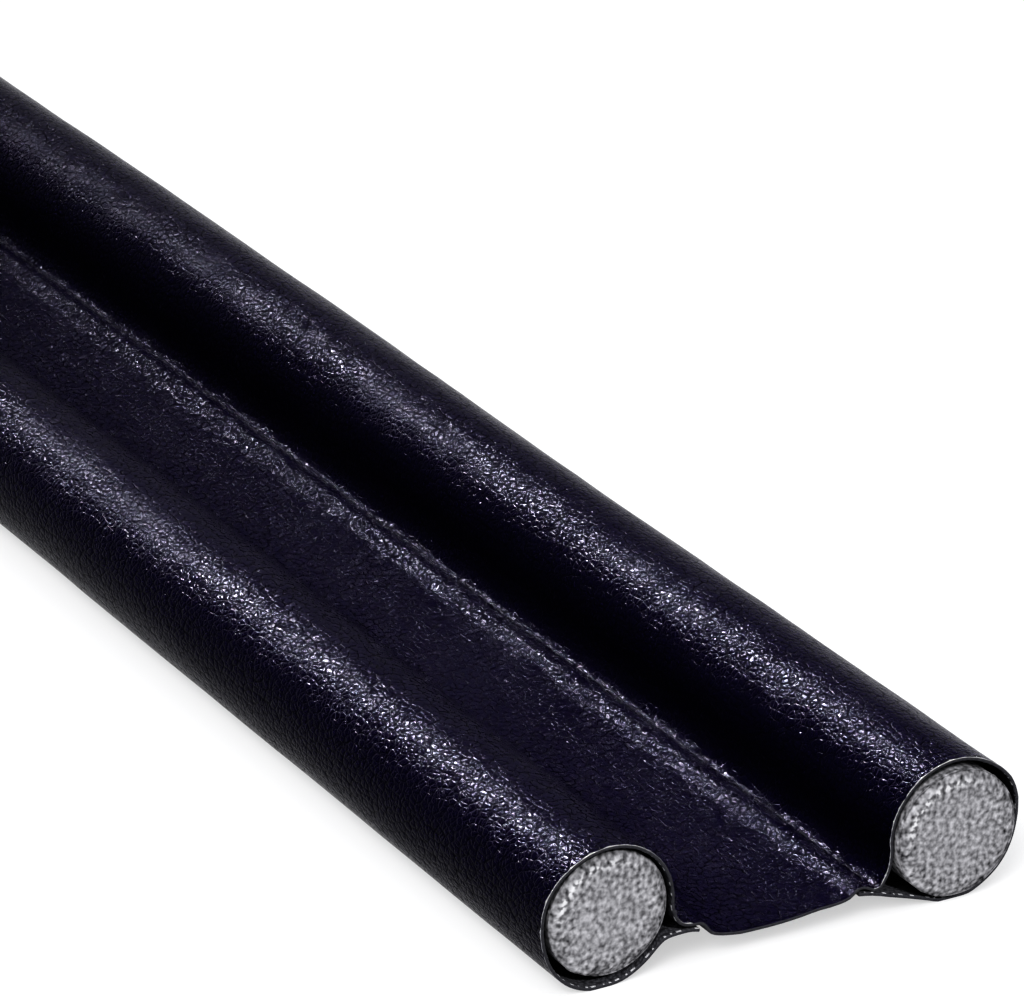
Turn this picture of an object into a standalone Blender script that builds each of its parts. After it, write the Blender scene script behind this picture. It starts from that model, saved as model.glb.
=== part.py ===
"""Twin draught excluder: two foam rods in the sleeves of one leatherette cover.

The cover is a single strip of cloth. Its middle is the web between the rods, and each long side goes
up the inner side of a rod, over it, under it and back below the web, where it is sewn on. X runs along
the rods, Y across them and Z up. The origin is the middle of the length and width, on the floor.
"""

import math
from collections import namedtuple

import bmesh
import bpy
import numpy as np

# Driving dimensions, in metres
LENGTH = 0.940  # of the cover
CLOTH = 0.001  # thickness of the cover
ROD_RADIUS = 0.01235
ROD_CLEARANCE = 0.00045  # between a rod and the snug side of its sleeve
ROD_STICKS_OUT = 0.0015  # at the end where a rod stands proud of the cover
ROD_SUNK = 0.0007  # at its other end
ROD_EDGE = 0.0006  # rounding of a rod's cut edge
RIM_WAVE = 0.0005  # how far the cut ends of the cover stray from a straight cut
RIM_DEPTH = 0.012  # length over which that fades

# Fineness of the meshes
LOOP_STEP = 9.0  # degrees between the cover's points round a rod
ROD_SIDES = 36
STATIONS = 21  # cross-sections along the length
END_STATIONS = (0.0, 0.004, 0.013)  # distances of the first ones from each end

# Slack is where the sleeve stands off its rod. Angles go round the rod, from 0 on the side that faces
# the other rod, over the top at 90 and down the outer side at 180, to 270 underneath.
Slack = namedtuple("Slack", "angle height spread")

# Half of the cross-section, from the middle plane outwards. web and tail are rows of distance from
# that plane and height above the floor, both along the middle of the cloth. The web ends where it
# meets the sleeve, and the tail runs from the sleeve to the cloth's free edge under the web.
Half = namedtuple("Half", "side rod_distance rod_height slack loop_start loop_end web tail")

FRONT = Half(
    side=-1,
    rod_distance=0.03656,
    rod_height=0.0142,
    slack=(
        Slack(angle=240, height=0.0010, spread=45),
        Slack(angle=160, height=0.0004, spread=40),
        Slack(angle=30, height=0.0002, spread=30),
    ),
    loop_start=-6,
    loop_end=318,
    web=(
        (0.0050, 0.00400),
        (0.0088, 0.00405),
        (0.0114, 0.00445),
        (0.0134, 0.00490),
        (0.0147, 0.00545),
        (0.0156, 0.00630),
        (0.0163, 0.00730),
        (0.0173, 0.00806),
        (0.0188, 0.00820),
        (0.0203, 0.00845),
        (0.0216, 0.00910),
        (0.0225, 0.01040),
    ),
    tail=(
        (0.0249, 0.00655),
        (0.0230, 0.00700),
        (0.0208, 0.00700),
        (0.0190, 0.00680),
        (0.0174, 0.00655),
    ),
)

BACK = Half(
    side=1,
    rod_distance=0.03659,
    rod_height=0.0139,
    slack=(
        Slack(angle=105, height=0.0007, spread=60),
        Slack(angle=153, height=0.0008, spread=22),
        Slack(angle=270, height=0.00055, spread=32),
    ),
    loop_start=-6,
    loop_end=291,
    web=(
        (0.0040, 0.00440),
        (0.0080, 0.00485),
        (0.0122, 0.00515),
        (0.0142, 0.00560),
        (0.0152, 0.00630),
        (0.0161, 0.00690),
        (0.0174, 0.00705),
        (0.0187, 0.00660),
        (0.0198, 0.00610),
        (0.0209, 0.00630),
        (0.0219, 0.00745),
        (0.0227, 0.00910),
    ),
    tail=(
        (0.0270, 0.00265),
        (0.0228, 0.00390),
        (0.0194, 0.00470),
        (0.0164, 0.00540),
    ),
)

WEB_MIDDLE = (0.0, 0.00410)  # distance and height of the cloth on the middle plane

# Soft unevenness along the cover. place is the share of the length from the -X end. The slack columns
# multiply how far the upper half of a sleeve stands off, web_lift raises the middle of the web, and the
# seam columns move the seams and the web beside them outwards.
Along = namedtuple("Along", "place front_slack back_slack web_lift front_seam back_seam")

ALONG = (
    Along(0.00, front_slack=1.3, back_slack=0.9, web_lift=0.0003, front_seam=0.0, back_seam=0.0002),
    Along(0.12, front_slack=0.4, back_slack=1.2, web_lift=-0.0004, front_seam=0.0003, back_seam=0.0),
    Along(0.27, front_slack=1.5, back_slack=0.7, web_lift=0.0005, front_seam=-0.0002, back_seam=0.0003),
    Along(0.41, front_slack=0.6, back_slack=1.1, web_lift=-0.0003, front_seam=0.0002, back_seam=-0.0003),
    Along(0.56, front_slack=1.7, back_slack=0.8, web_lift=0.0002, front_seam=-0.0003, back_seam=0.0001),
    Along(0.70, front_slack=0.5, back_slack=1.2, web_lift=-0.0005, front_seam=0.0001, back_seam=0.0003),
    Along(0.85, front_slack=1.4, back_slack=0.7, web_lift=0.0003, front_seam=-0.0001, back_seam=-0.0002),
    Along(1.00, front_slack=0.8, back_slack=1.0, web_lift=0.0, front_seam=0.0, back_seam=0.0),
)

# Colour, roughness and metallic value
LEATHERETTE = ("black_leatherette", (0.012, 0.010, 0.020, 1.0), 0.38, 0.0)
FOAM = ("grey_foam", (0.33, 0.33, 0.34, 1.0), 0.95, 0.0)


def clear_scene():
    for obj in list(bpy.data.objects):
        bpy.data.objects.remove(obj, do_unlink=True)


def new_collection(name):
    collection = bpy.data.collections.new(name)
    bpy.context.scene.collection.children.link(collection)
    return collection


def new_material(name, colour, roughness, metallic):
    material = bpy.data.materials.new(name)
    material.use_nodes = True
    material.diffuse_color = colour
    shader = material.node_tree.nodes["Principled BSDF"]
    shader.inputs["Base Color"].default_value = colour
    shader.inputs["Roughness"].default_value = roughness
    shader.inputs["Metallic"].default_value = metallic
    return material


def along(place):
    """The row of ALONG at a share of the length, eased from one row to the next."""
    for before, after in zip(ALONG, ALONG[1:]):
        if place <= after.place:
            share = (place - before.place) / (after.place - before.place)
            eased = share * share * (3 - 2 * share)
            return Along(*(a + (b - a) * eased for a, b in zip(before, after)))
    return ALONG[-1]


def sleeve_radius(half, angle, slack_factor):
    """Distance from the rod's centre to the middle of the cloth; the factor is for the upper half."""
    radius = ROD_RADIUS + ROD_CLEARANCE + CLOTH / 2
    for bump in half.slack:
        off = (angle - bump.angle + 180) % 360 - 180
        factor = slack_factor if bump.angle < 180 else 1.0
        radius += factor * bump.height * math.exp(-((off / bump.spread) ** 2))
    return radius


def sleeve_points(half, slack_factor):
    """The cloth round a rod, flattened where it rests on the floor."""
    count = round((half.loop_end - half.loop_start) / LOOP_STEP)
    points = []
    for angle in np.linspace(half.loop_start, half.loop_end, count + 1):
        radius = sleeve_radius(half, angle, slack_factor)
        distance = half.rod_distance - radius * math.cos(math.radians(angle))
        height = half.rod_height + radius * math.sin(math.radians(angle))
        points.append((distance, max(height, CLOTH / 2)))
    return points


def half_section(half, slack_factor, web_lift, seam_shift):
    """The middle line of half the cover, from beside the middle plane to the free edge."""
    seam = half.tail[-1][0]
    points = []
    for distance, height in half.web:
        near_seam = min(distance / seam, 1.0)
        lift = web_lift * (1 - near_seam**2)
        points.append((distance + seam_shift * near_seam**2, height + lift))
    points += sleeve_points(half, slack_factor)
    points += [(distance + seam_shift, height) for distance, height in half.tail]
    return [(half.side * distance, height) for distance, height in points]


def cover_section(place):
    """The whole middle line, as (y, z), from the front free edge to the back one."""
    row = along(place)
    front = half_section(FRONT, row.front_slack, row.web_lift, row.front_seam)
    back = half_section(BACK, row.back_slack, row.web_lift, row.back_seam)
    middle = (WEB_MIDDLE[0], WEB_MIDDLE[1] + row.web_lift)
    return front[::-1] + [middle] + back


def station_places():
    """Positions along X, closer together at the two ends."""
    inner = LENGTH / 2 - END_STATIONS[-1]
    ends = [LENGTH / 2 - distance for distance in END_STATIONS[:-1]]
    middle = np.linspace(-inner, inner, STATIONS - 2 * len(ends))
    return [-x for x in ends] + list(middle) + ends[::-1]


def rim_shift(x, turn):
    """How far a point near a cut end strays along X; turn goes from 0 to 1 across the cloth."""
    near_end = max(0.0, 1 - (LENGTH / 2 - abs(x)) / RIM_DEPTH)
    wave = math.sin(2 * math.pi * 3 * turn + math.copysign(0.8, x))
    wave += 0.5 * math.sin(2 * math.pi * 7 * turn)
    return -math.copysign(RIM_WAVE * (1 + wave / 1.5) / 2 * near_end, x)


def make_cover(collection):
    """A flat grid bent to the cross-section of each station, and thickened to both sides."""
    places = station_places()
    across = len(cover_section(0.0))
    mesh = bpy.data.meshes.new("cover_sheet")
    grid = bmesh.new()
    bmesh.ops.create_grid(grid, x_segments=len(places) - 1, y_segments=across - 1, size=1.0)
    sections = [cover_section(x / LENGTH + 0.5) for x in places]
    for vertex in grid.verts:
        column = round((vertex.co.x + 1) / 2 * (len(places) - 1))
        row = round((vertex.co.y + 1) / 2 * (across - 1))
        y, z = sections[column][row]
        x = places[column]
        vertex.co = (x + rim_shift(x, row / (across - 1)), y, z)
    bmesh.ops.recalc_face_normals(grid, faces=grid.faces)
    grid.to_mesh(mesh)
    grid.free()
    sheet = bpy.data.objects.new("cover_sheet", mesh)
    collection.objects.link(sheet)
    shell = sheet.modifiers.new("thickness", "SOLIDIFY")
    shell.thickness = CLOTH
    shell.offset = 0.0
    shell.use_even_offset = True
    bpy.context.view_layer.update()
    evaluated = sheet.evaluated_get(bpy.context.evaluated_depsgraph_get())
    solid = bpy.data.meshes.new_from_object(evaluated)
    bpy.data.objects.remove(sheet)
    cover = bpy.data.objects.new("cover", solid)
    collection.objects.link(cover)
    set_down(solid)
    finish(cover, LEATHERETTE, 40)


def set_down(mesh):
    """Put the undersides of the two sleeves level on the floor."""
    for vertex in mesh.vertices:
        if vertex.co.z < CLOTH / 8:
            vertex.co.z = 0.0


def make_rod(collection, name, half, shift):
    """A foam rod along X, with its cut edges slightly rounded."""
    mesh = bpy.data.meshes.new(name)
    length = LENGTH + ROD_STICKS_OUT - ROD_SUNK
    rod = bmesh.new()
    bmesh.ops.create_cone(
        rod,
        cap_ends=True,
        segments=ROD_SIDES,
        radius1=ROD_RADIUS,
        radius2=ROD_RADIUS,
        depth=length,
    )
    rod.to_mesh(mesh)
    rod.free()
    obj = bpy.data.objects.new(name, mesh)
    obj.location = (shift, half.side * half.rod_distance, half.rod_height)
    obj.rotation_euler = (0, math.pi / 2, 0)
    collection.objects.link(obj)
    edge = obj.modifiers.new("cut_edge", "BEVEL")
    edge.width = ROD_EDGE
    edge.segments = 2
    edge.limit_method = "ANGLE"
    edge.angle_limit = math.radians(60)
    finish(obj, FOAM, 35)


def finish(obj, look, smooth_below):
    """Give an object its own material and shade it smooth up to an angle in degrees."""
    name, colour, roughness, metallic = look
    material = new_material(f"{obj.name}_{name}", colour, roughness, metallic)
    obj.data.materials.clear()
    obj.data.materials.append(material)
    obj.data.shade_smooth()
    obj.data.set_sharp_from_angle(angle=math.radians(smooth_below))


def main():
    clear_scene()
    collection = new_collection("draught_excluder")
    make_cover(collection)
    # The rods are alike and each stands proud at its own end: the back one at +X, the front one at -X.
    shift = (ROD_STICKS_OUT + ROD_SUNK) / 2
    make_rod(collection, "foam_front", FRONT, -shift)
    make_rod(collection, "foam_back", BACK, shift)


main()
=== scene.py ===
import math
from collections import namedtuple

import bpy
import numpy as np
from mathutils import Matrix, Vector, noise


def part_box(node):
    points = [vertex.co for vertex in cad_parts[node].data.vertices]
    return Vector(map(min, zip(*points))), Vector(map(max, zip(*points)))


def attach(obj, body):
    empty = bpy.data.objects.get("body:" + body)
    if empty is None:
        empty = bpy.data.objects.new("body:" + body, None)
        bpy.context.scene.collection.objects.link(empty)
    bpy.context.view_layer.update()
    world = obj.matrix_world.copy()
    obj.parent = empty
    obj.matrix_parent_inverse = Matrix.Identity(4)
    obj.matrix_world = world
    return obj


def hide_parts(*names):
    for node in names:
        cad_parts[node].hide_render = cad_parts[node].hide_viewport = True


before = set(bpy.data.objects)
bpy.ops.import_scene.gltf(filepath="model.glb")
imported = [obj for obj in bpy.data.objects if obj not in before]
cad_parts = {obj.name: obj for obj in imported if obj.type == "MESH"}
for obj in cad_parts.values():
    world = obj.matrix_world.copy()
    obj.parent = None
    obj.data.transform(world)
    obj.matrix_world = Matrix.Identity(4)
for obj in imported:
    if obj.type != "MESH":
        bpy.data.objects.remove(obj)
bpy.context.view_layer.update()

# Sizes of the cover, in metres. The folds repeat those of the solid that the cover replaces.
LENGTH = 0.940
CLOTH = 0.0007  # thickness
SLEEVE_RADIUS = 0.01340  # middle of the cloth, where it lies snug round a rod
LOOP_STEP = 9.0  # degrees between the points of a sleeve before they are refined
PARTS = 2  # steps that each stretch of the section is divided into

# Stations along X: close together near the shown end and at both cuts, wider over the rest
FINE_LENGTH = 0.250
FINE_STEP = 0.0021
COARSE_STEP = 0.0075
END_STEPS = (0.0, 0.0003, 0.0008, 0.0016)

Slack = namedtuple("Slack", "angle height spread")
Half = namedtuple("Half", "side rod_distance rod_height slack loop_start loop_end web tail stitch")

FRONT = Half(
    side=-1,
    rod_distance=0.03656,
    rod_height=0.0142,
    slack=(
        Slack(angle=240, height=0.0010, spread=45),
        Slack(angle=160, height=0.0004, spread=40),
        Slack(angle=30, height=0.0002, spread=30),
    ),
    loop_start=-6,
    loop_end=318,
    web=(
        (0.0050, 0.00400),
        (0.0088, 0.00405),
        (0.0114, 0.00445),
        (0.0134, 0.00490),
        (0.0147, 0.00545),
        (0.0156, 0.00630),
        (0.0163, 0.00730),
        (0.0173, 0.00806),
        (0.0188, 0.00820),
        (0.0203, 0.00845),
        (0.0216, 0.00910),
        (0.0225, 0.01040),
    ),
    tail=(
        (0.0249, 0.00655),
        (0.0230, 0.00700),
        (0.0208, 0.00700),
        (0.0190, 0.00680),
        (0.0174, 0.00655),
    ),
    stitch=0.0192,
)

BACK = Half(
    side=1,
    rod_distance=0.03659,
    rod_height=0.0139,
    slack=(
        Slack(angle=105, height=0.0007, spread=60),
        Slack(angle=153, height=0.0008, spread=22),
        Slack(angle=270, height=0.00055, spread=32),
    ),
    loop_start=-6,
    loop_end=291,
    web=(
        (0.0040, 0.00440),
        (0.0080, 0.00485),
        (0.0122, 0.00515),
        (0.0142, 0.00560),
        (0.0152, 0.00630),
        (0.0161, 0.00690),
        (0.0174, 0.00705),
        (0.0187, 0.00660),
        (0.0198, 0.00610),
        (0.0209, 0.00630),
        (0.0219, 0.00745),
        (0.0227, 0.00910),
    ),
    tail=(
        (0.0270, 0.00265),
        (0.0228, 0.00390),
        (0.0194, 0.00470),
        (0.0164, 0.00540),
    ),
    stitch=0.0196,
)

WEB_MIDDLE = (0.0, 0.00410)

Along = namedtuple("Along", "place front_slack back_slack web_lift front_seam back_seam")

ALONG = (
    Along(0.00, front_slack=1.3, back_slack=0.9, web_lift=0.0003, front_seam=0.0, back_seam=0.0002),
    Along(0.12, front_slack=0.4, back_slack=1.2, web_lift=-0.0004, front_seam=0.0003, back_seam=0.0),
    Along(0.27, front_slack=1.5, back_slack=0.7, web_lift=0.0005, front_seam=-0.0002, back_seam=0.0003),
    Along(0.41, front_slack=0.6, back_slack=1.1, web_lift=-0.0003, front_seam=0.0002, back_seam=-0.0003),
    Along(0.56, front_slack=1.7, back_slack=0.8, web_lift=0.0002, front_seam=-0.0003, back_seam=0.0001),
    Along(0.70, front_slack=0.5, back_slack=1.2, web_lift=-0.0005, front_seam=0.0001, back_seam=0.0003),
    Along(0.85, front_slack=1.4, back_slack=0.7, web_lift=0.0003, front_seam=-0.0001, back_seam=-0.0002),
    Along(1.00, front_slack=0.8, back_slack=1.0, web_lift=0.0, front_seam=0.0, back_seam=0.0),
)

# Unevenness that is finer than the solid's: its height and its pitch along X and round the section
Ripple = namedtuple("Ripple", "height length width")
DENT = Ripple(height=0.00022, length=0.055, width=0.013)
SMALL_DENT = Ripple(height=0.00011, length=0.021, width=0.008)
CREASE = Ripple(height=0.00007, length=0.024, width=0.0036)
PUCKER = Ripple(height=0.00013, length=0.0052, width=0.0045)
FREE_FROM = 0.0012  # height above the floor where the cloth starts to be free to dent
FREE_OVER = 0.004
PINCH = 0.00022  # how far the stitches draw the two layers of a seam together
PINCH_REACH = 0.0022

# The cover's cut ends
RIM_WAVE = 0.0005  # how far the cut strays along X
RIM_DEPTH = 0.012  # distance from the cut over which that dies out
CUT_BEVEL = 0.00018
EDGE_HIGHLIGHT_REACH = 0.0010  # distance from the cut over which the film is paler: a painted edge highlight, with some rubbed wear
WEB_EDGE_HIGHLIGHT = 0.5  # share of that painted edge highlight on the web, which nothing rubs

# Foam rods. Each shift is along Y, as the rod lies in its sleeve.
Rod = namedtuple("Rod", "node radius shift seed")
FRONT_ROD = Rod("foam_front", radius=0.01228, shift=0.0003, seed=2.0)
BACK_ROD = Rod("foam_back", radius=0.0126, shift=0.0, seed=7.0)
FACE_CELLS = 130  # steps across a cut face
FACE_INSET = 0.0001
GRAIN = 0.00096  # pitch of the foam's crumbs
GRAIN_DEPTH = 0.00012
RAGGED = 0.00022  # unevenness of a cut face's outline
ROUNDED_FROM = 0.80  # share of the radius where a cut face starts to fall away
ROUNDING = 0.0009
WALL_STEPS = (0.0006, 0.0016, 0.003, 0.006)  # rings of the side, from each end
SWELL = 0.006  # unevenness of the side, as a share of the radius
HIGHLIGHT_RING = 0.82  # share of the radius where the painted highlight of pale specks lies on a cut face
HIGHLIGHT_WIDTH = 0.05
HIGHLIGHT_SIDE = Vector((-0.57, 0.82))  # the side of the face where that painted highlight lies, up and towards the front, in Y and Z

# Thread
THREAD_RADIUS = 0.00026
STITCH_PITCH = 0.0040
STITCH_LENGTH = 0.0034
STITCH_RISE = 0.00042
STITCH_DIP = 0.0003  # depth of a stitch's ends in the cloth
STITCH_TILT = 0.05
STITCH_SWAY = 0.0001
STITCH_STEPS = 6
STITCH_SIDES = 6

# Leather grain, in metres
PEBBLE_LENGTH = 0.0018  # pitch along the rolls
PEBBLE_WIDTH = 0.0012  # and round them
PEBBLE_DEPTH = 0.00011
STREAK_LENGTH = 0.0042
STREAK_WIDTH = 0.0010
PORE = 0.0003
PORE_DEPTH = 0.00001
LEATHER_LOW = (0.0012, 0.0008, 0.0035, 1)
LEATHER_HIGH = (0.0028, 0.0018, 0.0090, 1)
# The paler film at the cut ends: a painted edge highlight, with some rubbed wear.
RUBBED_FILM_AND_HIGHLIGHT = (0.24, 0.24, 0.255, 1)

# The cloth's wrong side and cut edge, the thread and the foam's finest grain
KNIT_LENGTH = 0.0009
KNIT_WIDTH = 0.0007
KNIT_DEPTH = 0.00025
FIBRE_DEPTH = 0.0002
TWIST_DEPTH = 0.00006
FOAM_PORE_DEPTH = 0.00012

# The camera is matched to the photograph: the direction it looks from, then its place as distances
# to the right, up and back from the middle of the front rod's shown end.
CAMERA_AZIMUTH = 60.95
CAMERA_ELEVATION = 23.16
CAMERA_LENS = 234.1
CAMERA_RIGHT = -0.01749
CAMERA_UP = 0.07474
CAMERA_BACK = 1.193
SHOWN_END = Vector((0.470, -0.03656, 0.01452))

# Lamps: the direction towards each, the X that it is aimed at, its distance, size and power in watts,
# and its beam in degrees. The key's narrow beam leaves the far part of the rolls dimmer. The top lamp
# is for the views from above and behind, and its warm colour keeps the leather black in them.
WHITE = (1.0, 1.0, 1.0)
Lamp = namedtuple("Lamp", "name towards aim distance size power beam colour", defaults=(WHITE,))
KEY = Lamp(
    "key",
    towards=(-0.804, -0.090, 0.588),
    aim=0.60,
    distance=5.0,
    size=(0.35, 0.25),
    power=1.27,
    beam=10,
)
REAR_KEY = Lamp(
    "rear_key",
    towards=(0.80, 0.05, 0.60),
    aim=0.35,
    distance=2.6,
    size=(0.35, 0.26),
    power=90,
    beam=180,
)
TOP = Lamp(
    "top",
    towards=(0.0, -0.12, 1.0),
    aim=0.0,
    distance=5.0,
    size=(0.7, 0.5),
    power=150,
    beam=180,
    colour=(1.0, 1.0, 0.64),
)
FILL = Lamp(
    "fill",
    towards=(0.54, -0.54, 0.64),
    aim=0.35,
    distance=2.0,
    size=(0.9, 0.9),
    power=15,
    beam=180,
)
SKY_COLOUR = (0.97, 0.975, 1.0, 1)
SKY_STRENGTH = 0.48
FLOOR_REACH = 40.0
FLOOR_COLOUR = (0.47, 0.47, 0.47, 1)
FLOOR_GLOW = 0.36  # the lit studio round it, which keeps the shadows pale


# The section of the cover


def along(place):
    """The row of ALONG at a share of the length, eased from one row to the next."""
    for before, after in zip(ALONG, ALONG[1:]):
        if place <= after.place:
            share = (place - before.place) / (after.place - before.place)
            eased = share * share * (3 - 2 * share)
            return Along(*(a + (b - a) * eased for a, b in zip(before, after)))
    return ALONG[-1]


def sleeve_radius(half, angle, slack_factor):
    """Distance from the rod's centre to the middle of the cloth; the factor is for the upper half."""
    radius = SLEEVE_RADIUS
    for bump in half.slack:
        off = (angle - bump.angle + 180) % 360 - 180
        factor = slack_factor if bump.angle < 180 else 1.0
        radius += factor * bump.height * math.exp(-((off / bump.spread) ** 2))
    return radius


def sleeve_points(half, slack_factor):
    """The cloth round a rod, flattened where it rests on the floor."""
    count = round((half.loop_end - half.loop_start) / LOOP_STEP)
    points = []
    for angle in np.linspace(half.loop_start, half.loop_end, count + 1):
        radius = sleeve_radius(half, angle, slack_factor)
        distance = half.rod_distance - radius * math.cos(math.radians(angle))
        height = half.rod_height + radius * math.sin(math.radians(angle))
        points.append((distance, max(height, CLOTH / 2)))
    return points


def pinched(half, distance, way):
    """How far a layer of the seam is drawn up or down at its stitches."""
    return way * PINCH * math.exp(-(((distance - half.stitch) / PINCH_REACH) ** 2))


def half_section(half, slack_factor, web_lift, seam_shift):
    """The middle line of half the cover, from beside the middle plane to the free edge."""
    seam = half.tail[-1][0]
    points = []
    for distance, height in half.web:
        near_seam = min(distance / seam, 1.0)
        lift = web_lift * (1 - near_seam**2) + pinched(half, distance, -1)
        points.append((distance + seam_shift * near_seam**2, height + lift))
    points += sleeve_points(half, slack_factor)
    for distance, height in half.tail:
        points.append((distance + seam_shift, height + pinched(half, distance, 1)))
    return [(half.side * distance, height) for distance, height in points]


def tangent(a, b, c, ab, bc):
    """Slope at b of the curve through a, b and c, for uneven steps."""
    return (b - a) / ab * (bc / (ab + bc)) + (c - b) / bc * (ab / (ab + bc))


def refined(points):
    """A smooth line through the points, each stretch divided into the same number of steps."""
    p = np.array(points)
    before = np.vstack([2 * p[:1] - p[1:2], p[:-2], p[-3:-2]])[: len(p) - 1]
    after = np.vstack([p[2:], 2 * p[-1:] - p[-2:-1]])
    start, end = p[:-1], p[1:]
    reach = np.linalg.norm(end - start, axis=1, keepdims=True)
    reach_before = np.linalg.norm(start - before, axis=1, keepdims=True)
    reach_after = np.linalg.norm(after - end, axis=1, keepdims=True)
    slope_start = tangent(before, start, end, reach_before, reach) * reach
    slope_end = tangent(start, end, after, reach, reach_after) * reach
    rows = []
    for k in range(PARTS):
        t = k / PARTS
        rows.append(
            (2 * t**3 - 3 * t**2 + 1) * start
            + (t**3 - 2 * t**2 + t) * slope_start
            + (3 * t**2 - 2 * t**3) * end
            + (t**3 - t**2) * slope_end
        )
    line = np.stack(rows, axis=1).reshape(-1, 2)
    return np.vstack([line, p[-1:]])


def cover_line(place):
    """The whole middle line, as (y, z), from the front free edge to the back one."""
    row = along(place)
    front = half_section(FRONT, row.front_slack, row.web_lift, row.front_seam)
    back = half_section(BACK, row.back_slack, row.web_lift, row.back_seam)
    middle = (WEB_MIDDLE[0], WEB_MIDDLE[1] + row.web_lift)
    line = refined(front[::-1] + [middle] + back)
    line[:, 1] = np.maximum(line[:, 1], CLOTH / 2)
    return line


def arc_lengths(line):
    steps = np.linalg.norm(np.diff(line, axis=0), axis=1)
    return np.concatenate([[0.0], np.cumsum(steps)])


def outward(line):
    """Unit normals of the line, away from the rods and upwards on the web."""
    along_line = np.gradient(line, axis=0)
    along_line /= np.linalg.norm(along_line, axis=1, keepdims=True)
    return np.stack([-along_line[:, 1], along_line[:, 0]], axis=1)


def arc_at(line, arcs, half, first, last):
    """Arc length where the line between two points crosses the half's stitches."""
    best = min(range(first, last), key=lambda i: abs(abs(line[i][0]) - half.stitch))
    return arcs[best]


def seam_arcs(line, arcs):
    """Arc lengths of the stitches: front tail, front web, back web and back tail."""
    middle = int(np.argmin(np.abs(line[:, 0])))
    top_front = int(np.argmax(line[:middle, 1]))
    top_back = middle + int(np.argmax(line[middle:, 1]))
    return (
        arc_at(line, arcs, FRONT, 0, len(FRONT.tail) * PARTS),
        arc_at(line, arcs, FRONT, top_front, middle),
        arc_at(line, arcs, BACK, middle, top_back),
        arc_at(line, arcs, BACK, len(line) - len(BACK.tail) * PARTS, len(line)),
    )


# The cover


def station_places():
    """Positions along X, from the far end to the shown one."""
    half = LENGTH / 2
    near = [half - d for d in END_STEPS]
    near += list(np.arange(half - END_STEPS[-1] - FINE_STEP, half - FINE_LENGTH, -FINE_STEP))
    far_start = near[-1]
    far_end = -half + END_STEPS[-1]
    count = round((far_start - far_end) / COARSE_STEP)
    far = list(np.linspace(far_start, far_end, count + 1)[1:])
    far += [-half + d for d in reversed(END_STEPS[:-1])]
    return np.array(near + far)[::-1]


def rim_shift(x, turn):
    """How far a point near a cut end strays along X; turn goes from 0 to 1 across the cloth."""
    near_end = max(0.0, 1 - (LENGTH / 2 - abs(x)) / RIM_DEPTH)
    wave = math.sin(2 * math.pi * 3 * turn + math.copysign(0.8, x))
    wave += 0.5 * math.sin(2 * math.pi * 7 * turn)
    return -math.copysign(RIM_WAVE * (1 + wave / 1.5) / 2 * near_end, x)


def rippled(ripple, x, s, seed):
    """Smooth noise from -1 to 1 at the ripple's pitch."""
    return noise.noise(Vector((x / ripple.length, s / ripple.width, seed)))


def unevenness(x, z, s, stitch_arcs):
    """Height of the cloth's small dents, creases and gathers at a point of the section."""
    free = min(max((z - FREE_FROM) / FREE_OVER, 0.0), 1.0)
    dent = DENT.height * rippled(DENT, x, s, 3.1)
    dent += SMALL_DENT.height * rippled(SMALL_DENT, x, s, 9.7)
    ridge = (1 - abs(rippled(CREASE, x, s, 21.3))) ** 4 - 0.4
    gather = 0.0
    for arc in stitch_arcs:
        beside = math.exp(-(((s - arc) / PUCKER.width) ** 2))
        gather += beside * noise.noise(Vector((x / PUCKER.length, arc * 100, 5.5)))
    return free * (dent + CREASE.height * ridge) + PUCKER.height * gather


def cover_points(places, arcs, stitch_arcs):
    """Points of the middle of the cloth, by station and then along the section."""
    points = np.zeros((len(places), len(arcs), 3))
    for i, x in enumerate(places):
        line = cover_line(x / LENGTH + 0.5)
        normals = outward(line)
        for j, ((y, z), s) in enumerate(zip(line, arcs)):
            y, z = (y, z) + normals[j] * unevenness(x, z, s, stitch_arcs)
            points[i, j] = (x + rim_shift(x, s / arcs[-1]), y, max(z, CLOTH / 2))
    return points


def edge_highlight_and_wear(cloth_uv, stitch_arcs):
    """Painted edge highlight and wear of the film at the cut ends: 1 at the cut, 0 at the reach set
    above, and less on the web.
    """
    from_cut = LENGTH / 2 - np.abs(cloth_uv[:, 0])
    on_web = (cloth_uv[:, 1] > stitch_arcs[1]) & (cloth_uv[:, 1] < stitch_arcs[2])
    return np.clip(1 - from_cut / EDGE_HIGHLIGHT_REACH, 0, 1) * np.where(on_web, WEB_EDGE_HIGHLIGHT, 1.0)


def add_values(mesh, name, values):
    layer = mesh.attributes.new(name, "FLOAT", "POINT")
    layer.data.foreach_set("value", np.asarray(values, np.float32))


def new_piece(name, mesh, materials):
    for material in materials:
        mesh.materials.append(material)
    piece = bpy.data.objects.new(name, mesh)
    bpy.context.scene.collection.objects.link(piece)
    return piece


def cloth_mesh(places, arcs, stitch_arcs):
    """The middle of the cloth as a mesh, with its cloth coordinates and its painted edge highlight with
    wear.
    """
    points = cover_points(places, arcs, stitch_arcs)
    rows, columns = points.shape[:2]
    index = np.arange(rows * columns).reshape(rows, columns)
    corners = np.stack([index[:-1, :-1], index[1:, :-1], index[1:, 1:], index[:-1, 1:]], axis=-1)
    mesh = bpy.data.meshes.new("cover_cloth")
    mesh.from_pydata(points.reshape(-1, 3).tolist(), [], corners.reshape(-1, 4).tolist())
    cloth_uv = np.stack(np.broadcast_arrays(places[:, None], arcs[None, :]), axis=-1).reshape(-1, 2)
    order = np.zeros(len(mesh.loops), np.int32)
    mesh.loops.foreach_get("vertex_index", order)
    layer = mesh.uv_layers.new(name="cloth")
    layer.data.foreach_set("uv", cloth_uv[order].astype(np.float32).ravel())
    add_values(mesh, "edge_highlight_and_wear", edge_highlight_and_wear(cloth_uv, stitch_arcs))
    return mesh


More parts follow.
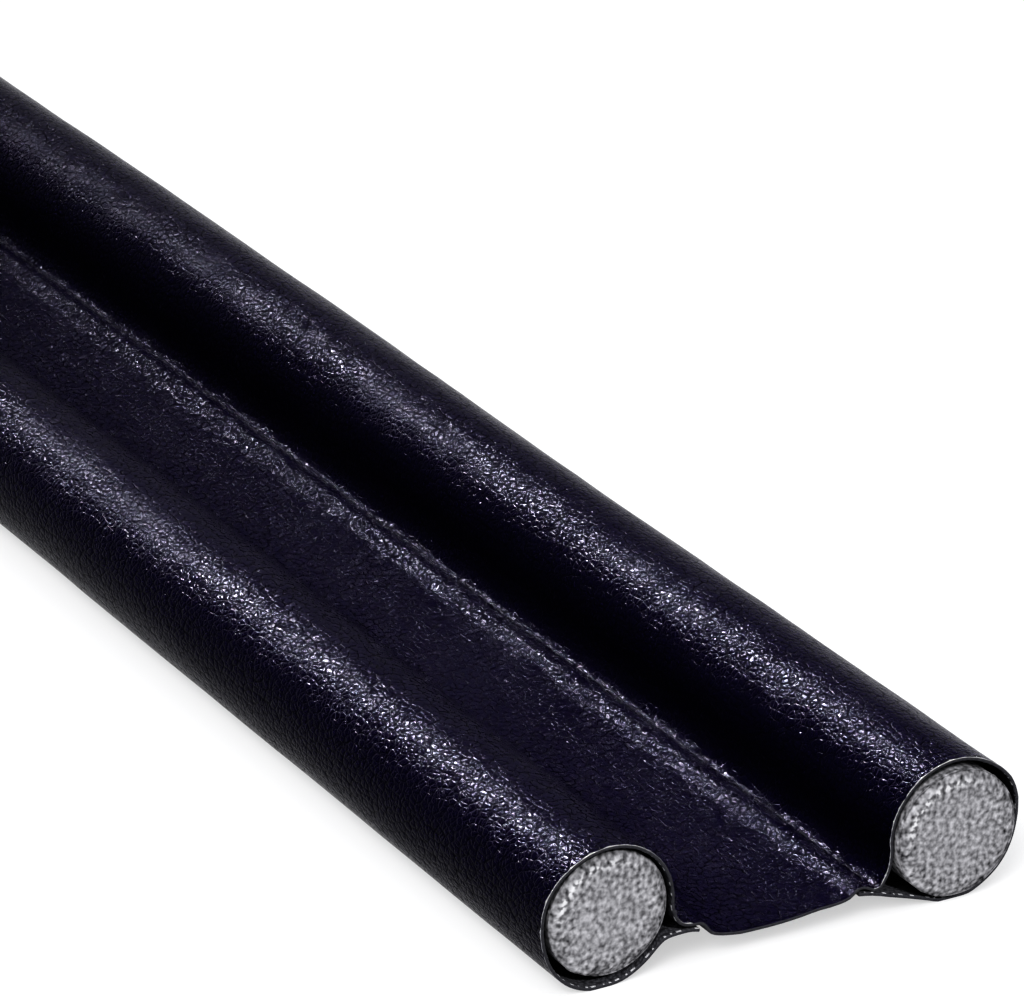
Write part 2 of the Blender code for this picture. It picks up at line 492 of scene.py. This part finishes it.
def thicken(cover):
    """Give the cloth its thickness and soften its cut edges."""
    shell = cover.modifiers.new("thickness", "SOLIDIFY")
    shell.thickness = CLOTH
    shell.offset = 0.0
    shell.use_even_offset = True
    shell.material_offset = 1
    shell.material_offset_rim = 2
    edge = cover.modifiers.new("cut_edge", "BEVEL")
    edge.width = CUT_BEVEL
    edge.segments = 2
    edge.limit_method = "ANGLE"
    edge.angle_limit = math.radians(60)
    evaluated = cover.evaluated_get(bpy.context.evaluated_depsgraph_get())
    mesh = bpy.data.meshes.new_from_object(evaluated)
    cover.modifiers.clear()
    cover.data = mesh
    mesh.shade_smooth()
    mesh.set_sharp_from_angle(angle=math.radians(50))


def make_cover():
    """The cover, and the width of the strip that it was cut from."""
    reference = cover_line(0.5)
    arcs = arc_lengths(reference)
    mesh = cloth_mesh(station_places(), arcs, seam_arcs(reference, arcs))
    cover = new_piece("cover_cloth", mesh, (leatherette(), backing(), cut_edge()))
    thicken(cover)
    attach(cover, "root")
    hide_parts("cover")
    return cover, arcs[-1]


# Foam rods


def face_grid():
    """A square grid pressed into a disc of radius 1, as (across, up) for each point."""
    steps = np.linspace(-1, 1, FACE_CELLS + 1)
    u, v = np.meshgrid(steps, steps, indexing="ij")
    across = u * np.sqrt(1 - v * v / 2)
    up = v * np.sqrt(1 - u * u / 2)
    return list(zip(across.ravel(), up.ravel()))


def grid_rim():
    """Indexes of the grid's outer points, in order round the disc."""
    n = FACE_CELLS
    ring = [(i, 0) for i in range(n)] + [(n, j) for j in range(n)]
    ring += [(i, n) for i in range(n, 0, -1)] + [(0, j) for j in range(n, 0, -1)]
    return [i * (n + 1) + j for i, j in ring]


def foam_height(y, z, seed):
    """Roughness of the cut foam: raised beads with pits between them."""
    nearest = noise.voronoi(Vector((y / GRAIN, z / GRAIN, seed)))[0][0]
    bead = 1 - min(nearest * 1.25, 1.0) ** 2
    pits = noise.noise(Vector((y / GRAIN * 0.7, z / GRAIN * 0.7, seed + 40)))
    return GRAIN_DEPTH * (bead - 0.55 + 1.1 * pits)


def outline_stray(a, b, seed):
    """How far the outline of a cut face strays outwards, in the direction of a point of the face."""
    turn = math.atan2(b, a)
    wide = noise.noise(Vector((3.2 * math.cos(turn), 3.2 * math.sin(turn), seed)))
    fine = noise.noise(Vector((12 * math.cos(turn), 12 * math.sin(turn), seed)))
    return RAGGED * (wide + fine) * math.hypot(a, b) ** 6


def cut_face(rod, centre, grid, x, way):
    """Points of a rod's cut face at x, which looks along X in the direction of way."""
    seed = rod.seed + x
    points = []
    for a, b in grid:
        reach = rod.radius + outline_stray(a, b, seed)
        y = centre[0] + reach * a
        z = centre[1] + reach * b
        fall = max(0.0, (math.hypot(a, b) - ROUNDED_FROM) / (1 - ROUNDED_FROM)) ** 2
        height = foam_height(y, z, seed) - ROUNDING * fall - FACE_INSET
        points.append((x + way * height, y, z))
    return points


def face_quads(start, way):
    """Faces of a cut face whose points begin at start."""
    n = FACE_CELLS + 1
    quads = []
    for i in range(FACE_CELLS):
        for j in range(FACE_CELLS):
            k = start + i * n + j
            quad = [k, k + n, k + n + 1, k + 1]
            quads.append(quad if way > 0 else quad[::-1])
    return quads


def wall_points(rod, centre, rim, x):
    """A ring of points round the rod's side at x."""
    points = []
    for a, b in rim:
        reach = rod.radius * (1 + SWELL * noise.noise(Vector((a * 4, b * 4, x * 300 + rod.seed))))
        points.append((x, centre[0] + reach * a, centre[1] + reach * b))
    return points


def wall_quads(rings):
    quads = []
    for one, two in zip(rings, rings[1:]):
        for k in range(len(one)):
            m = (k + 1) % len(one)
            quads.append([one[m], one[k], two[k], two[m]])
    return quads


def rod_shape(rod, centre, low, high):
    """Points and faces of a rod: its two cut faces and the rings between them."""
    grid = face_grid()
    ring = grid_rim()
    points = cut_face(rod, centre, grid, high, 1)
    behind = len(points)
    points += cut_face(rod, centre, grid, low, -1)
    rings = [ring]
    for x in [high - d for d in WALL_STEPS] + [0.0] + [low + d for d in reversed(WALL_STEPS)]:
        rings.append(list(range(len(points), len(points) + len(ring))))
        points += wall_points(rod, centre, [grid[k] for k in ring], x)
    rings.append([behind + k for k in ring])
    return points, face_quads(0, 1) + face_quads(behind, -1) + wall_quads(rings)


def painted_highlight_share(offset):
    """Share of the painted highlight at a point of a cut face: a ring on one side only, from the point's
    place as a share of the radius.
    """
    if offset.length < 0.01:
        return 0.0
    ring = math.exp(-(((offset.length - HIGHLIGHT_RING) / HIGHLIGHT_WIDTH) ** 2))
    side = offset.normalized().dot(HIGHLIGHT_SIDE)
    return ring * min(max((side - 0.45) / 0.35, 0.0), 1.0)


def make_rod(rod, foam):
    low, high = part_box(rod.node)
    centre = ((low + high) / 2).yz + Vector((rod.shift, 0.0))
    points, faces = rod_shape(rod, centre, low.x, high.x)
    mesh = bpy.data.meshes.new(rod.node + "_rod")
    mesh.from_pydata(points, [], faces)
    offsets = [(Vector(point).yz - centre) / rod.radius for point in points]
    add_values(mesh, "rim", [min(offset.length, 1.0) for offset in offsets])
    add_values(mesh, "painted_highlight", [painted_highlight_share(offset) for offset in offsets])
    piece = new_piece(rod.node + "_rod", mesh, (foam,))
    mesh.shade_smooth()
    mesh.set_sharp_from_angle(angle=math.radians(70))
    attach(piece, "root")
    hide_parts(rod.node)
    return piece


# Stitches


def stitch_points():
    """A stitch along X about its middle, as rings of points: its two ends dip into the cloth."""
    points = []
    for k in range(STITCH_STEPS + 1):
        t = k / STITCH_STEPS * 2 - 1
        rise = STITCH_RISE * (1 - t**4) - STITCH_DIP
        thick = THREAD_RADIUS * (0.75 + 0.25 * math.sqrt(1 - t * t))
        for i in range(STITCH_SIDES):
            turn = 2 * math.pi * i / STITCH_SIDES
            flat = thick * 1.15 * math.cos(turn)
            points.append(Vector((t * STITCH_LENGTH / 2, flat, rise + thick * 0.85 * math.sin(turn))))
    return points


def stitch_faces():
    faces = []
    for k in range(STITCH_STEPS):
        for i in range(STITCH_SIDES):
            m = (i + 1) % STITCH_SIDES
            a, b = k * STITCH_SIDES, (k + 1) * STITCH_SIDES
            faces.append([a + i, b + i, b + m, a + m])
    faces.append(list(range(STITCH_SIDES)))
    faces.append([STITCH_STEPS * STITCH_SIDES + k for k in reversed(range(STITCH_SIDES))])
    return faces


def seam_place(half, x, layer):
    """Point on the outer side of one layer of a seam, and its normal, at a station."""
    line = cover_line(x / LENGTH + 0.5)
    arcs = arc_lengths(line)
    front_tail, front_web, back_web, back_tail = seam_arcs(line, arcs)
    if half.side < 0:
        arc = front_web if layer == "web" else front_tail
    else:
        arc = back_web if layer == "web" else back_tail
    i = int(np.argmin(np.abs(arcs - arc)))
    normal = outward(line)[i]
    y, z = line[i] + normal * CLOTH / 2
    return Vector((x, y, z)), Vector((0, normal[0], normal[1]))


def stitch_frame(half, x, layer):
    """Where a stitch lies and how it is turned: a little askew, each one its own way."""
    place, normal = seam_place(half, x, layer)
    sway = noise.noise(Vector((x * 90, half.side * 3.0, 1.7)))
    side = normal.cross(Vector((1, 0, 0)))
    ahead = (Vector((1, 0, 0)) + side * STITCH_TILT * (1 + 0.8 * sway)).normalized()
    turned = Matrix((ahead, normal.cross(ahead), normal)).transposed()
    return place + side * STITCH_SWAY * sway, turned


def make_stitches(name, half, thread):
    """The row of stitches of one seam, on its web side and on its tail side."""
    points = []
    faces = []
    count = int((LENGTH - STITCH_PITCH) / STITCH_PITCH)
    for layer in ("web", "tail"):
        for k in range(count):
            place, turned = stitch_frame(half, (k - (count - 1) / 2) * STITCH_PITCH, layer)
            faces += [[len(points) + i for i in face] for face in stitch_faces()]
            points += [place + turned @ point for point in stitch_points()]
    mesh = bpy.data.meshes.new(name)
    mesh.from_pydata(points, [], faces)
    stitches = new_piece(name, mesh, (thread,))
    mesh.shade_smooth()
    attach(stitches, "root")
    return stitches


# Materials


class Shader:
    """A material and short ways to add and link its nodes."""

    def __init__(self, name):
        self.material = bpy.data.materials.new(name)
        self.material.use_nodes = True
        self.tree = self.material.node_tree
        self.surface = self.tree.nodes["Principled BSDF"]

    def set(self, socket, value):
        """Give one of the surface's sockets a value or a link."""
        self.feed(self.surface.inputs[socket], value)

    def feed(self, socket, value):
        if isinstance(value, bpy.types.NodeSocket):
            self.tree.links.new(value, socket)
        else:
            socket.default_value = value

    def node(self, kind, settings=None, **inputs):
        made = self.tree.nodes.new(kind)
        for key, value in (settings or {}).items():
            setattr(made, key, value)
        for key, value in inputs.items():
            self.feed(made.inputs[key], value)
        return made

    def cloth_uv(self):
        return self.node("ShaderNodeUVMap", {"uv_map": "cloth"}).outputs["UV"]

    def place(self):
        return self.node("ShaderNodeTexCoord").outputs["Object"]

    def values(self, name):
        return self.node("ShaderNodeAttribute", {"attribute_name": name}).outputs["Fac"]

    def math(self, operation, a, b):
        made = self.node("ShaderNodeMath", {"operation": operation})
        self.feed(made.inputs[0], a)
        self.feed(made.inputs[1], b)
        return made.outputs[0]

    def product(self, a, b):
        return self.math("MULTIPLY", a, b)

    def sum(self, *weighted):
        """The sum of values, each times its weight."""
        total = 0.0
        for value, weight in weighted:
            total = self.math("ADD", self.product(value, weight), total)
        return total

    def ramp(self, value, low, high, to_low=0.0, to_high=1.0, kind="SMOOTHSTEP"):
        made = self.node("ShaderNodeMapRange", {"interpolation_type": kind})
        numbers = {"Value": value, "From Min": low, "From Max": high, "To Min": to_low, "To Max": to_high}
        for key, number in numbers.items():
            self.feed(made.inputs[key], number)
        return made.outputs["Result"]

    def mix(self, factor, one, two):
        made = self.node("ShaderNodeMix", {"data_type": "RGBA"})
        self.feed(made.inputs[0], factor)
        self.feed(made.inputs[6], one)
        self.feed(made.inputs[7], two)
        return made.outputs[2]

    def scaled(self, vector, x, y):
        made = self.node("ShaderNodeVectorMath", {"operation": "MULTIPLY"})
        self.feed(made.inputs[0], vector)
        made.inputs[1].default_value = (x, y, 1.0)
        return made.outputs[0]

    def cloud(self, vector, detail, output="Fac", scale=1.0):
        """Flat noise over cloth coordinates."""
        settings = {"noise_dimensions": "2D"}
        inputs = {"Vector": vector, "Scale": scale, "Detail": detail}
        return self.node("ShaderNodeTexNoise", settings, **inputs).outputs[output]

    def cells(self, vector, feature, scale=1.0):
        """Distances in a pattern of flat cells."""
        settings = {"voronoi_dimensions": "2D", "feature": feature}
        inputs = {"Vector": vector, "Scale": scale}
        return self.node("ShaderNodeTexVoronoi", settings, **inputs).outputs["Distance"]

    def warped(self, vector, amount, scale):
        """The vector moved by a smooth noise of its own."""
        centred = self.node("ShaderNodeVectorMath", {"operation": "SUBTRACT"})
        self.feed(centred.inputs[0], self.cloud(vector, 1.0, "Color", scale))
        centred.inputs[1].default_value = (0.5, 0.5, 0.5)
        moved = self.node("ShaderNodeVectorMath", {"operation": "MULTIPLY_ADD"})
        self.feed(moved.inputs[0], centred.outputs[0])
        moved.inputs[1].default_value = (amount, amount, 0.0)
        self.feed(moved.inputs[2], vector)
        return moved.outputs[0]

    def bump(self, height, distance, normal=None):
        made = self.node("ShaderNodeBump", Height=height, Distance=distance, Strength=1.0)
        if normal is not None:
            self.feed(made.inputs["Normal"], normal)
        return made.outputs["Normal"]


def grain_height(s, uv):
    """Height of the leather's grain: pebbles on larger plates, with fine cracks and long soft streaks."""
    grain = s.warped(s.scaled(uv, 1 / PEBBLE_LENGTH, 1 / PEBBLE_WIDTH), 0.55, 0.45)
    valley = s.ramp(s.cells(grain, "DISTANCE_TO_EDGE"), 0.0, 0.22)
    dome = s.cells(grain, "F1")
    rounded = s.math("SUBTRACT", 1.0, s.product(dome, dome))
    plate = s.ramp(s.cells(s.scaled(grain, 0.48, 0.55), "DISTANCE_TO_EDGE"), 0.0, 0.14)
    crack = s.ramp(s.cells(grain, "DISTANCE_TO_EDGE", 2.3), 0.0, 0.25)
    streak = s.cloud(s.scaled(uv, 1 / STREAK_LENGTH, 1 / STREAK_WIDTH), 2.0)
    return s.sum((valley, 0.50), (rounded, 0.60), (plate, 0.35), (crack, 0.16), (streak, 0.90))


def leatherette():
    """Black pebbled leatherette with a blue cast; its grain is laid out in cloth coordinates."""
    s = Shader("leatherette")
    uv = s.cloth_uv()
    height = grain_height(s, uv)
    pores = s.cloud(s.scaled(uv, 1 / PORE, 1 / PORE), 2.0)
    s.set("Normal", s.bump(pores, PORE_DEPTH, s.bump(height, PEBBLE_DEPTH)))
    black = s.mix(s.ramp(height, 1.1, 1.8), LEATHER_LOW, LEATHER_HIGH)
    # A paler film along the cut ends, broken into dashes: a painted edge highlight, with some rubbed
    # wear.
    dashes = s.cloud(s.scaled(uv, 100.0, 450.0), 2.0)
    painted_edge_line = s.ramp(s.math("ADD", s.values("edge_highlight_and_wear"), dashes), 1.20, 1.35)
    s.set("Base Color", s.mix(s.product(painted_edge_line, 0.8), black, RUBBED_FILM_AND_HIGHLIGHT))
    s.set("Roughness", s.ramp(height, 0.8, 1.8, 0.38, 0.17))
    s.set("Specular IOR Level", 0.042)
    s.set("Specular Tint", (0.55, 0.50, 1.0, 1))
    return s.material


def backing():
    """Charcoal knit on the wrong side of the cloth, with pale loose ends at the cuts."""
    s = Shader("cloth_backing")
    uv = s.cloth_uv()
    knit = s.cells(s.warped(s.scaled(uv, 1 / KNIT_LENGTH, 1 / KNIT_WIDTH), 0.3, 0.8), "F1")
    s.set("Normal", s.bump(s.math("SUBTRACT", 1.0, knit), KNIT_DEPTH))
    charcoal = s.mix(knit, (0.045, 0.045, 0.050, 1), (0.010, 0.010, 0.012, 1))
    ends = s.ramp(s.cloud(s.scaled(uv, 200.0, 800.0), 0.0), 0.54, 0.58)
    shown = s.product(ends, s.ramp(s.values("edge_highlight_and_wear"), 0.45, 0.60))
    s.set("Base Color", s.mix(s.product(shown, 0.8), charcoal, (0.30, 0.30, 0.31, 1)))
    s.set("Roughness", 0.9)
    s.set("Specular IOR Level", 0.15)
    return s.material


def cut_edge():
    """The raw edge of the cloth: black film over dark fibres."""
    s = Shader("cut_edge")
    fibre = s.cloud(s.scaled(s.cloth_uv(), 1200.0, 1200.0), 3.0)
    s.set("Base Color", s.mix(fibre, (0.004, 0.004, 0.006, 1), (0.030, 0.030, 0.034, 1)))
    s.set("Normal", s.bump(fibre, FIBRE_DEPTH))
    s.set("Roughness", 0.75)
    s.set("Specular IOR Level", 0.25)
    return s.material


def thread_material():
    """Twisted black thread."""
    s = Shader("thread")
    inputs = {"Vector": s.place(), "Scale": 520.0, "Distortion": 1.0}
    twist = s.node("ShaderNodeTexWave", {"bands_direction": "DIAGONAL"}, **inputs).outputs["Fac"]
    s.set("Normal", s.bump(twist, TWIST_DEPTH))
    s.set("Base Color", s.mix(twist, (0.006, 0.006, 0.008, 1), (0.022, 0.021, 0.028, 1)))
    s.set("Roughness", 0.55)
    s.set("Specular IOR Level", 0.25)
    s.set("Specular Tint", (0.72, 0.70, 1.0, 1))
    return s.material


def foam_colour(s, place):
    """Speckled grey, coarser towards the rim with painted light and shade there, painted shade in pits
    and a painted highlight of pale specks on one side.
    """
    settings = {"Scale": 1 / GRAIN, "Detail": 1.0, "Roughness": 0.35}
    speckle = s.node("ShaderNodeTexNoise", Vector=place, **settings).outputs["Fac"]
    tone = s.ramp(speckle, 0.20, 0.80, kind="LINEAR")
    even = s.mix(tone, (0.125, 0.124, 0.130, 1), (0.545, 0.540, 0.560, 1))
    # Near the rim the speckle runs darker and paler: coarser cut cells, with painted light on raised
    # crumbs and painted shade in holes.
    rim_speckle_lit_and_shaded = s.mix(tone, (0.01, 0.01, 0.012, 1), (0.585, 0.580, 0.600, 1))
    grey = s.mix(s.ramp(s.values("rim"), 0.35, 0.95), even, rim_speckle_lit_and_shaded)
    # Darker spots where the cells meet: painted shade in the foam's pits.
    distance = s.node("ShaderNodeTexVoronoi", Vector=place, Scale=1 / GRAIN).outputs["Distance"]
    painted_pit_shade = s.product(s.ramp(distance, 0.60, 0.85), 0.25)
    grey = s.mix(painted_pit_shade, grey, (0.06, 0.06, 0.065, 1))
    # Pale specks on one side of the cut face's ring: a painted highlight where light catches the raised
    # edge of the cut.
    painted_highlight = s.product(s.values("painted_highlight"), s.ramp(speckle, 0.46, 0.62, to_high=0.8))
    return s.mix(painted_highlight, grey, (0.74, 0.74, 0.75, 1))


def foam_material():
    """Grey foam, cut across."""
    s = Shader("foam")
    place = s.place()
    s.set("Base Color", foam_colour(s, place))
    fine = s.node("ShaderNodeTexNoise", Vector=place, Scale=2200.0, Detail=2.0).outputs["Fac"]
    s.set("Normal", s.bump(fine, FOAM_PORE_DEPTH))
    s.set("Roughness", 0.9)
    s.set("Specular IOR Level", 0.25)
    return s.material


# Camera, light and floor


def add_camera():
    azimuth = math.radians(CAMERA_AZIMUTH)
    elevation = math.radians(CAMERA_ELEVATION)
    level = math.cos(elevation)
    right = Vector((math.cos(azimuth), math.sin(azimuth), 0))
    back = Vector((math.sin(azimuth) * level, -math.cos(azimuth) * level, math.sin(elevation)))
    up = back.cross(right)
    place = SHOWN_END + right * CAMERA_RIGHT + up * CAMERA_UP + back * CAMERA_BACK
    data = bpy.data.cameras.new("camera")
    data.lens = CAMERA_LENS
    data.sensor_width = 36.0
    data.clip_start = 0.01
    data.clip_end = 200.0
    camera = bpy.data.objects.new("camera", data)
    camera.matrix_world = Matrix.Translation(place) @ Matrix((right, up, back)).transposed().to_4x4()
    bpy.context.scene.collection.objects.link(camera)
    bpy.context.scene.camera = camera


def add_softbox(lamp):
    """A rectangular lamp that looks at its aim from its direction."""
    towards = Vector(lamp.towards).normalized()
    data = bpy.data.lights.new(lamp.name, "AREA")
    data.shape = "RECTANGLE"
    data.size, data.size_y = lamp.size
    data.energy = lamp.power
    data.color = lamp.colour
    data.spread = math.radians(lamp.beam)
    box = bpy.data.objects.new(lamp.name, data)
    box.location = Vector((lamp.aim, 0, 0)) + towards * lamp.distance
    box.rotation_mode = "QUATERNION"
    box.rotation_quaternion = towards.to_track_quat("Z", "Y")
    bpy.context.scene.collection.objects.link(box)
    return box


def shine_on(lamps, pieces):
    """Keep the lamps' light to these pieces, as flags round the lamps do."""
    lit = bpy.data.collections.new("lit_by_keys")
    for piece in pieces:
        lit.objects.link(piece)
    for lamp in lamps:
        lamp.light_linking.receiver_collection = lit


def add_floor():
    mesh = bpy.data.meshes.new("floor")
    reach = FLOOR_REACH
    corners = [(-reach, -reach, 0), (reach, -reach, 0), (reach, reach, 0), (-reach, reach, 0)]
    mesh.from_pydata(corners, [], [[0, 1, 2, 3]])
    s = Shader("floor")
    s.set("Base Color", FLOOR_COLOUR)
    s.set("Emission Color", (1.0, 1.0, 1.0, 1))
    s.set("Emission Strength", FLOOR_GLOW)
    s.set("Roughness", 0.9)
    s.set("Specular IOR Level", 0.1)
    new_piece("floor", mesh, (s.material,))


def add_world():
    world = bpy.data.worlds.new("studio")
    world.use_nodes = True
    sky = world.node_tree.nodes["Background"]
    sky.inputs["Color"].default_value = SKY_COLOUR
    sky.inputs["Strength"].default_value = SKY_STRENGTH
    bpy.context.scene.world = world


def main():
    bpy.context.scene.view_settings.view_transform = "Standard"
    bpy.context.scene.view_settings.look = "Very High Contrast"
    add_camera()
    add_world()
    add_floor()
    keys = [add_softbox(lamp) for lamp in (KEY, REAR_KEY, TOP)]
    add_softbox(FILL)
    cover, cloth_width = make_cover()
    foam = foam_material()
    rods = [make_rod(rod, foam) for rod in (FRONT_ROD, BACK_ROD)]
    thread = thread_material()
    stitches = [
        make_stitches("stitches_front", FRONT, thread),
        make_stitches("stitches_back", BACK, thread),
    ]
    shine_on(keys, [cover] + stitches)


main()
